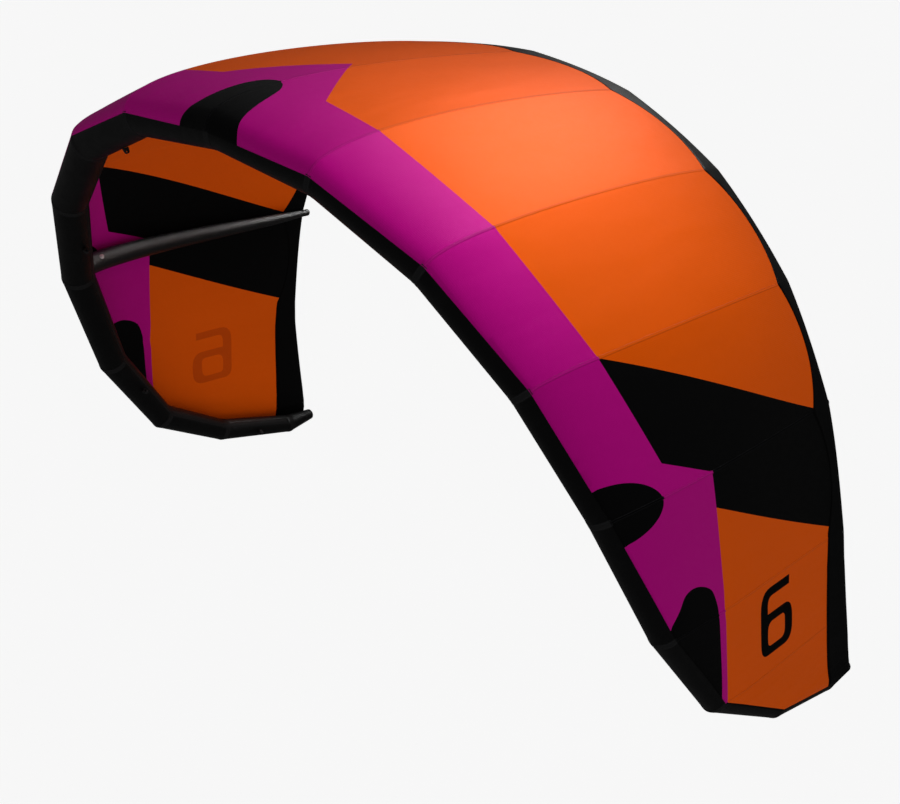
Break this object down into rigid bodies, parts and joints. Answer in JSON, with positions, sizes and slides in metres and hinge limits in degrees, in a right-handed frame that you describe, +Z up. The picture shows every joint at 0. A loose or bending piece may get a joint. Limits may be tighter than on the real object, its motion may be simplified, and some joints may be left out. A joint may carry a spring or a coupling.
{
  "type": "kitesurf kite",
  "caption": "Kitesurf kite: arched canopy on an inflatable leading-edge tube and inflatable struts, swept wing tips, valves with opening lid and plugs",
  "frame": {"origin": "centre of the leading-edge tube on the symmetry plane", "axes": "+X along the span to one wing tip, +Y back along the chord to the trailing edge, +Z up, out of the arch"},
  "size_m": [2.853, 1.4815, 1.9623],
  "materials": {
    "canopy_cloth": "ripstop weave, slight sheen",
    "canopy_magenta": "ripstop weave, slight sheen",
    "canopy_black": "ripstop weave, slight sheen",
    "hem_cloth": "dense sailcloth, matte",
    "tube_cloth": "dense sailcloth, satin",
    "strut_cloth": "dense sailcloth, satin",
    "strut_cap": "moulded, satin",
    "bladder_film": "thin film",
    "valve_white": "moulded, glossy",
    "valve_grey": "moulded, satin",
    "webbing": "flat woven webbing"
  },
  "bodies": {
    "root": {"leading_edge_right_1": "tube_cloth", "leading_edge_right_2": "tube_cloth", "leading_edge_right_3": "tube_cloth", "leading_edge_right_4": "tube_cloth", "leading_edge_right_5": "tube_cloth", "leading_edge_right_6": "tube_cloth", "leading_edge_right_7": "tube_cloth", "leading_edge_right_8": "tube_cloth", "leading_edge_right_9": "tube_cloth", "leading_edge_left_1": "tube_cloth", "leading_edge_left_2": "tube_cloth", "leading_edge_left_3": "tube_cloth", "leading_edge_left_4": "tube_cloth", "leading_edge_left_5": "tube_cloth", "leading_edge_left_6": "tube_cloth", "leading_edge_left_7": "tube_cloth", "leading_edge_left_8": "tube_cloth", "leading_edge_left_9": "tube_cloth", "leading_edge_bladder": "bladder_film", "tip_cap_right": "tube_cloth", "tip_cap_left": "tube_cloth", "strut_sleeve_centre": "strut_cloth", "strut_bladder_centre": "bladder_film", "strut_cap_centre": "strut_cap", "strut_sleeve_right": "strut_cloth", "strut_bladder_right": "bladder_film", "strut_cap_right": "strut_cap", "strut_sleeve_left": "strut_cloth", "strut_bladder_left": "bladder_film", "strut_cap_left": "strut_cap", "canopy_panel_right_1": "canopy_cloth", "canopy_panel_right_2": "canopy_cloth", "canopy_panel_right_3": "canopy_cloth", "canopy_panel_right_4": "canopy_cloth", "canopy_panel_right_5": "canopy_cloth", "canopy_panel_right_6": "canopy_cloth", "canopy_tip_right": "canopy_cloth", "trailing_edge_band_right": "hem_cloth", "canopy_panel_left_1": "canopy_cloth", "canopy_panel_left_2": "canopy_cloth", "canopy_panel_left_3": "canopy_cloth", "canopy_panel_left_4": "canopy_cloth", "canopy_panel_left_5": "canopy_cloth", "canopy_panel_left_6": "canopy_cloth", "canopy_tip_left": "canopy_cloth", "trailing_edge_band_left": "hem_cloth", "inflation_valve_body": "valve_grey", "deflation_valve_body": "valve_grey", "strut_valve_body_centre": "valve_white", "strut_valve_body_right": "valve_white", "strut_valve_body_left": "valve_white", "line_tabs_right": "webbing", "line_tabs_left": "webbing", "centre_strut_handle": "webbing"},
    "inflation_lid": {"inflation_valve_lid": "valve_grey"},
    "deflation_plug": {"deflation_valve_plug": "valve_grey"},
    "strut_plug_centre": {"strut_valve_plug_centre": "valve_white"},
    "strut_plug_right": {"strut_valve_plug_right": "valve_white"},
    "strut_plug_left": {"strut_valve_plug_left": "valve_white"}
  },
  "joints": [
    {"name": "inflation_lid_hinge", "type": "hinge", "parent": "root", "child": "inflation_lid", "pos_m": [0.22352, 0.09375, -0.04468], "axis": [0.9917, 0.0416, -0.1217], "range_deg": [0, 110]},
    {"name": "deflation_plug_pull", "type": "slide", "parent": "root", "child": "deflation_plug", "axis": [0.0888, 0.9059, -0.4141], "range_m": [0, 0.012]},
    {"name": "strut_plug_centre_pull", "type": "slide", "parent": "root", "child": "strut_plug_centre", "axis": [0.6428, 0.0597, -0.7637], "range_m": [0, 0.006]},
    {"name": "strut_plug_right_pull", "type": "slide", "parent": "root", "child": "strut_plug_right", "axis": [-0.7341, 0.0268, 0.6785], "range_m": [0, 0.006]},
    {"name": "strut_plug_left_pull", "type": "slide", "parent": "root", "child": "strut_plug_left", "axis": [0.7341, 0.0268, 0.6785], "range_m": [0, 0.006]}
  ]
}
